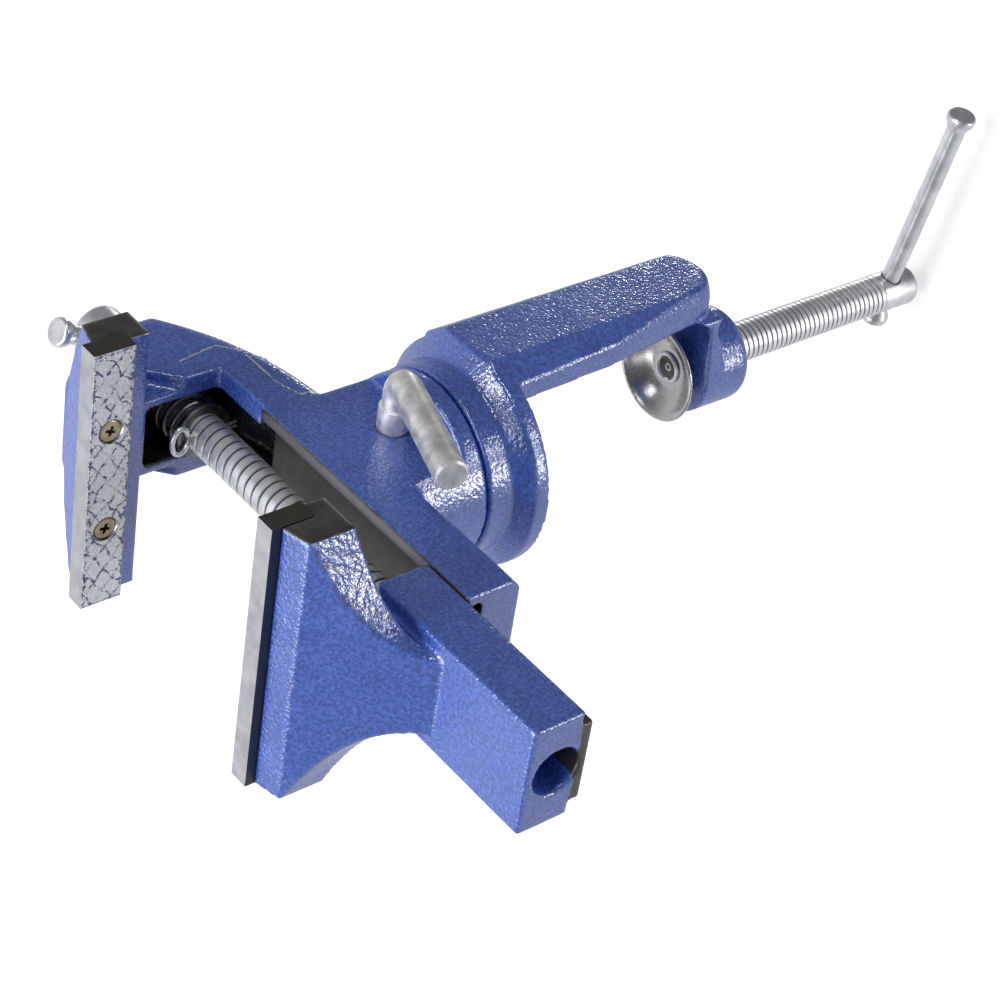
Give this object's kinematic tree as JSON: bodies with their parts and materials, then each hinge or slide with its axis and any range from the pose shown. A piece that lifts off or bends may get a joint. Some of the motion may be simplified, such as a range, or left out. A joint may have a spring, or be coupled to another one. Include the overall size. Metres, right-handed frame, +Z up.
{
  "type": "clamp-on table vise",
  "caption": "Clamp-on table vise: cast gooseneck body on a swivel base, sliding rear jaw driven by a lead screw, lock lever, C-clamp with screw and dished pad.",
  "frame": {"origin": "centre of the swivel disc's underside, the face that lies on the table top, on the swivel axis", "axes": "+Z up along the swivel axis, +Y along the lead screw from its handle at the front to the moving jaw at the rear, +X across the jaws"},
  "size_m": [0.1023, 0.1913, 0.2497],
  "materials": {
    "enamel": "blue hammered enamel on cast iron",
    "zinc": "bright zinc-plated steel",
    "pad_steel": "satin pressed steel",
    "plate_steel": "knurled steel jaw plate",
    "plate_screws": "yellow-passivated steel",
    "spring_wire": "drawn spring wire",
    "nut_iron": "machined iron"
  },
  "bodies": {
    "clamp_base": {"clamp_frame": "enamel"},
    "vise_body": {"vise_body": "enamel", "fixed_jaw_plate": "plate_steel", "fixed_plate_screws": "plate_screws", "lead_spring": "spring_wire"},
    "moving_jaw": {"moving_jaw": "enamel", "moving_jaw_plate": "plate_steel", "moving_plate_screws": "plate_screws", "lead_nut": "nut_iron"},
    "lead_screw": {"lead_screw": "zinc", "thrust_washer": "zinc", "retaining_washer": "spring_wire", "cotter_pin": "zinc"},
    "lead_handle": {"lead_tbar": "zinc", "lead_tbar_cap": "zinc"},
    "swivel_lock": {"swivel_lock_lever": "zinc"},
    "clamp_pad": {"clamp_pad": "pad_steel"},
    "clamp_screw": {"clamp_screw": "zinc"},
    "clamp_handle": {"clamp_tbar": "zinc", "clamp_tbar_cap": "zinc"}
  },
  "joints": [
    {"name": "swivel", "type": "hinge", "parent": "clamp_base", "child": "vise_body", "pos_m": [0, 0, 0.015], "axis": [0, 0, 1], "continuous": true},
    {"name": "jaw_travel", "type": "slide", "parent": "vise_body", "child": "moving_jaw", "axis": [0, 1, 0], "range_m": [-0.0664, 0.0033]},
    {"name": "lead_turn", "type": "hinge", "parent": "vise_body", "child": "lead_screw", "pos_m": [0, 0, 0.0568], "axis": [0, 1, 0], "range_deg": [-480, 9570]},
    {"name": "lead_bar_slide", "type": "slide", "parent": "lead_screw", "child": "lead_handle", "axis": [-0.454, 0, 0.891], "range_m": [-0.006, 0.043]},
    {"name": "swivel_lock_turn", "type": "hinge", "parent": "vise_body", "child": "swivel_lock", "pos_m": [0, 0, 0.0275], "axis": [1, 0, 0], "range_deg": [-30, 120]},
    {"name": "clamp_travel", "type": "slide", "parent": "clamp_base", "child": "clamp_pad", "axis": [0, 0, 1], "range_m": [0, 0.058]},
    {"name": "clamp_turn", "type": "hinge", "parent": "clamp_pad", "child": "clamp_screw", "pos_m": [-0.0016, -0.002, -0.1], "axis": [0, 0, 1], "range_deg": [-10, 8360]},
    {"name": "clamp_bar_slide", "type": "slide", "parent": "clamp_screw", "child": "clamp_handle", "axis": [-0.9863, 0.165, 0], "range_m": [-0.0524, 0]}
  ],
  "couplings": [
    {"joint": "lead_turn", "follows": "jaw_travel", "rad_per_m": -2513.3},
    {"joint": "clamp_turn", "follows": "clamp_travel", "rad_per_m": 2513.3}
  ]
}
